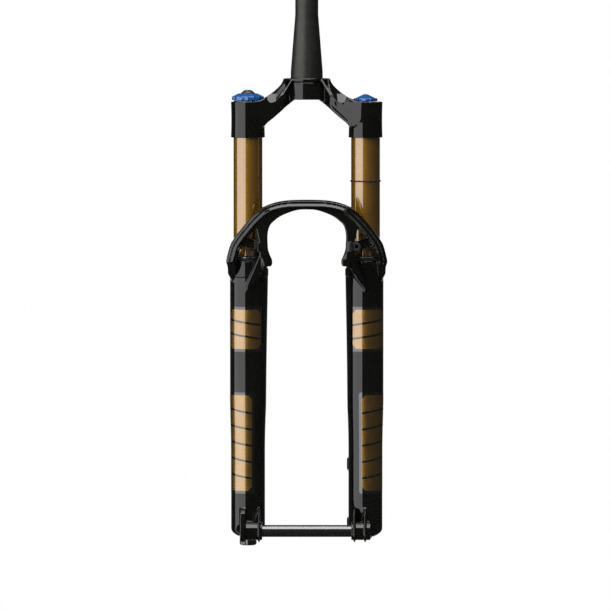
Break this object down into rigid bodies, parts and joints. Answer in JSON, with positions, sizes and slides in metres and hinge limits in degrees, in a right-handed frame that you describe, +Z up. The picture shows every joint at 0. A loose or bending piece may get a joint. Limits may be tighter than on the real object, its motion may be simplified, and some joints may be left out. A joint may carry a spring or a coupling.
{
  "type": "suspension fork",
  "caption": "Single-crown telescopic bicycle suspension fork with tapered steerer, gold upper tubes, arched black lower casting and a through axle.",
  "frame": {"origin": "on the flat of the crown race seat, straight ahead (-Y) of the steerer's axis, which stands at y = 0.0235", "axes": "+Z up the steerer, -Y towards the front of the fork, -X towards the rider's right (damper leg), +X towards the rider's left (air spring leg and brake posts)"},
  "size_m": [0.1998, 0.1001, 0.8444],
  "materials": {
    "black_paint": "gloss",
    "black_anodised": "satin",
    "grey_anodised": "satin",
    "gold_coating": "gloss",
    "blue_anodised": "gloss",
    "plain_aluminium": "satin",
    "polished_steel": "gloss",
    "brass": "satin",
    "black_rubber": "matte",
    "black_plastic": "satin",
    "blue_plastic": "satin",
    "bushing_lining": "matte",
    "grey_foam": "matte"
  },
  "bodies": {
    "crown_unit": {"steerer_tube": "grey_anodised", "crown": "black_paint", "upper_tube_right": "gold_coating", "upper_tube_left": "gold_coating", "damper_top_cap": "black_anodised", "damper_cartridge_tube": "plain_aluminium", "base_valve": "plain_aluminium", "damper_seal_head": "plain_aluminium", "floating_piston_spring": "polished_steel", "air_top_cap": "black_anodised", "valve_stem": "brass", "valve_core": "polished_steel", "volume_spacer_1": "blue_plastic", "volume_spacer_2": "blue_plastic", "air_seal_head": "black_plastic", "top_out_bumper": "black_rubber", "retaining_ring": "polished_steel"},
    "lower_unit": {"lower_casting": "black_paint", "dust_wiper_right": "black_rubber", "dust_wiper_left": "black_rubber", "wiper_spring_right": "polished_steel", "wiper_spring_left": "polished_steel", "foam_ring_right": "grey_foam", "foam_ring_left": "grey_foam", "upper_bushing_right": "bushing_lining", "upper_bushing_left": "bushing_lining", "lower_bushing_right": "bushing_lining", "lower_bushing_left": "bushing_lining", "damper_shaft": "polished_steel", "rebound_piston": "plain_aluminium", "air_shaft": "polished_steel", "air_piston": "black_plastic", "air_piston_seal": "black_rubber", "bottom_out_bumper_right": "black_rubber", "bottom_out_bumper_left": "black_rubber", "crush_washer_right": "plain_aluminium", "crush_washer_left": "plain_aluminium", "foot_nut_right": "black_anodised", "foot_nut_left": "black_anodised", "axle_nut": "black_anodised", "hose_guide": "black_plastic", "hose_guide_screw": "black_anodised"},
    "travel_ring_body": {"travel_ring": "black_rubber"},
    "floating_piston_body": {"floating_piston": "black_plastic"},
    "high_speed_adjuster": {"high_speed_dial": "blue_anodised"},
    "low_speed_adjuster": {"low_speed_dial": "grey_anodised", "dial_screw": "polished_steel"},
    "valve_cover": {"valve_cap": "blue_anodised"},
    "rebound_adjuster": {"rebound_dial": "black_anodised", "rebound_rod": "polished_steel"},
    "through_axle": {"axle": "black_anodised"},
    "bleeder_button_right": {"bleeder_right": "black_anodised"},
    "bleeder_button_left": {"bleeder_left": "black_anodised"}
  },
  "joints": [
    {"name": "travel_slide", "type": "slide", "parent": "crown_unit", "child": "lower_unit", "axis": [0, 0, 1], "range_m": [0, 0.14], "stiffness_N_per_m": 3000},
    {"name": "travel_ring_slide", "type": "slide", "parent": "crown_unit", "child": "travel_ring_body", "axis": [0, 0, 1], "range_m": [0, 0.0489]},
    {"name": "floating_piston_slide", "type": "slide", "parent": "crown_unit", "child": "floating_piston_body", "axis": [0, 0, 1], "range_m": [0, 0.032], "deforming": ["floating_piston_spring"]},
    {"name": "high_speed_turn", "type": "hinge", "parent": "crown_unit", "child": "high_speed_adjuster", "pos_m": [-0.07275, 0.0035, -0.0235], "axis": [0, 0, 1], "range_deg": [-90, 90]},
    {"name": "low_speed_turn", "type": "hinge", "parent": "crown_unit", "child": "low_speed_adjuster", "pos_m": [-0.07275, 0.0035, -0.0165], "axis": [0, 0, 1], "range_deg": [-120, 120]},
    {"name": "valve_cap_lift", "type": "slide", "parent": "crown_unit", "child": "valve_cover", "axis": [0, 0, 1], "range_m": [0, 0.03]},
    {"name": "rebound_turn", "type": "hinge", "parent": "lower_unit", "child": "rebound_adjuster", "pos_m": [-0.07275, 0.0035, -0.575], "axis": [0, 0, 1], "range_deg": [-120, 120]},
    {"name": "axle_slide", "type": "slide", "parent": "lower_unit", "child": "through_axle", "axis": [1, 0, 0], "range_m": [0, 0.15]},
    {"name": "bleeder_press_right", "type": "slide", "parent": "lower_unit", "child": "bleeder_button_right", "axis": [0, -1, 0], "range_m": [0, 0.001], "stiffness_N_per_m": 2000},
    {"name": "bleeder_press_left", "type": "slide", "parent": "lower_unit", "child": "bleeder_button_left", "axis": [0, -1, 0], "range_m": [0, 0.001], "stiffness_N_per_m": 2000}
  ],
  "couplings": [
    {"joint": "travel_ring_slide", "follows": "travel_slide", "ratio": 0.349},
    {"joint": "floating_piston_slide", "follows": "travel_slide", "ratio": 0.228}
  ]
}
